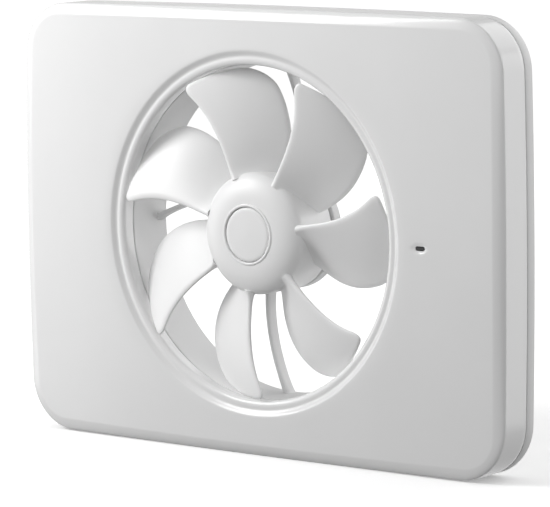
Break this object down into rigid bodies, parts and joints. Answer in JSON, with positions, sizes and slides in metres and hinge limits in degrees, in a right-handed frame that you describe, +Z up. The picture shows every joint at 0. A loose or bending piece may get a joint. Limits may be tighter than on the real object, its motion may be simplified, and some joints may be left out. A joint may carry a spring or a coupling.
{
  "type": "axial extractor fan",
  "caption": "Flat wall-mounted axial extractor fan with a pull-off front cover, an open duct and a bladed impeller on a motor carried by curved struts.",
  "frame": {"origin": "on the fan's axis in the wall plane, where the back plate rests", "axes": "+Z up, -Y out of the wall towards the room, +X to the right seen from the room"},
  "size_m": [0.2286, 0.0289, 0.1686],
  "materials": {
    "gloss_white_plastic": "glossy moulded white",
    "satin_white_plastic": "fine satin moulded white",
    "dark_window": "dark infrared-clear lens",
    "clear_plastic": "clear light guide",
    "steel": "bright zinc",
    "lamination_steel": "stacked laminations",
    "ferrite_magnet": "dull ferrite",
    "copper_wire": "enamelled winding",
    "circuit_board": "solder mask",
    "black_plastic": "satin black",
    "yellow_tape": "wound tape",
    "grey_rubber": "soft matt",
    "white_cable_sheath": "satin sheath",
    "grey_plastic": "satin grey"
  },
  "bodies": {
    "housing": {"back_plate": "satin_white_plastic", "duct_ring": "satin_white_plastic", "motor_carrier": "satin_white_plastic", "bearing_front": "steel", "bearing_rear": "steel", "stator_core": "lamination_steel", "stator_coil_1": "copper_wire", "stator_coil_2": "copper_wire", "stator_coil_3": "copper_wire", "stator_coil_4": "copper_wire", "stator_coil_5": "copper_wire", "stator_coil_6": "copper_wire", "motor_board": "circuit_board", "motor_rear_cap": "satin_white_plastic", "motor_lead": "white_cable_sheath", "frame_screw_1": "steel", "frame_screw_2": "steel", "frame_screw_3": "steel", "frame_screw_4": "steel", "control_board": "circuit_board", "transformer": "yellow_tape", "relay": "black_plastic", "processor": "black_plastic", "humidity_sensor": "black_plastic", "capacitor": "black_plastic", "fuse": "grey_plastic", "light_guide": "clear_plastic", "terminal_block": "grey_plastic", "terminal_screw_1": "steel", "terminal_screw_2": "steel", "terminal_screw_3": "steel", "electronics_case": "satin_white_plastic", "case_screw_1": "steel", "case_screw_2": "steel", "cable_clamp": "satin_white_plastic", "clamp_screw_1": "steel", "clamp_screw_2": "steel", "cable_grommet": "grey_rubber"},
    "rotor": {"rotor_cup": "steel", "magnet_ring": "ferrite_magnet", "motor_shaft": "steel", "shaft_clip": "steel"},
    "impeller": {"impeller": "gloss_white_plastic", "hub_cap": "gloss_white_plastic"},
    "front_cover": {"front_cover": "gloss_white_plastic", "sensor_window": "dark_window"}
  },
  "joints": [
    {"name": "fan_spin", "type": "hinge", "parent": "housing", "child": "rotor", "pos_m": [0, 0, 0], "axis": [0, 1, 0], "continuous": true},
    {"name": "impeller_pull", "type": "slide", "parent": "rotor", "child": "impeller", "axis": [0, -1, 0], "range_m": [0, 0.03]},
    {"name": "cover_pull", "type": "slide", "parent": "housing", "child": "front_cover", "axis": [0, -1, 0], "range_m": [0, 0.05]}
  ]
}
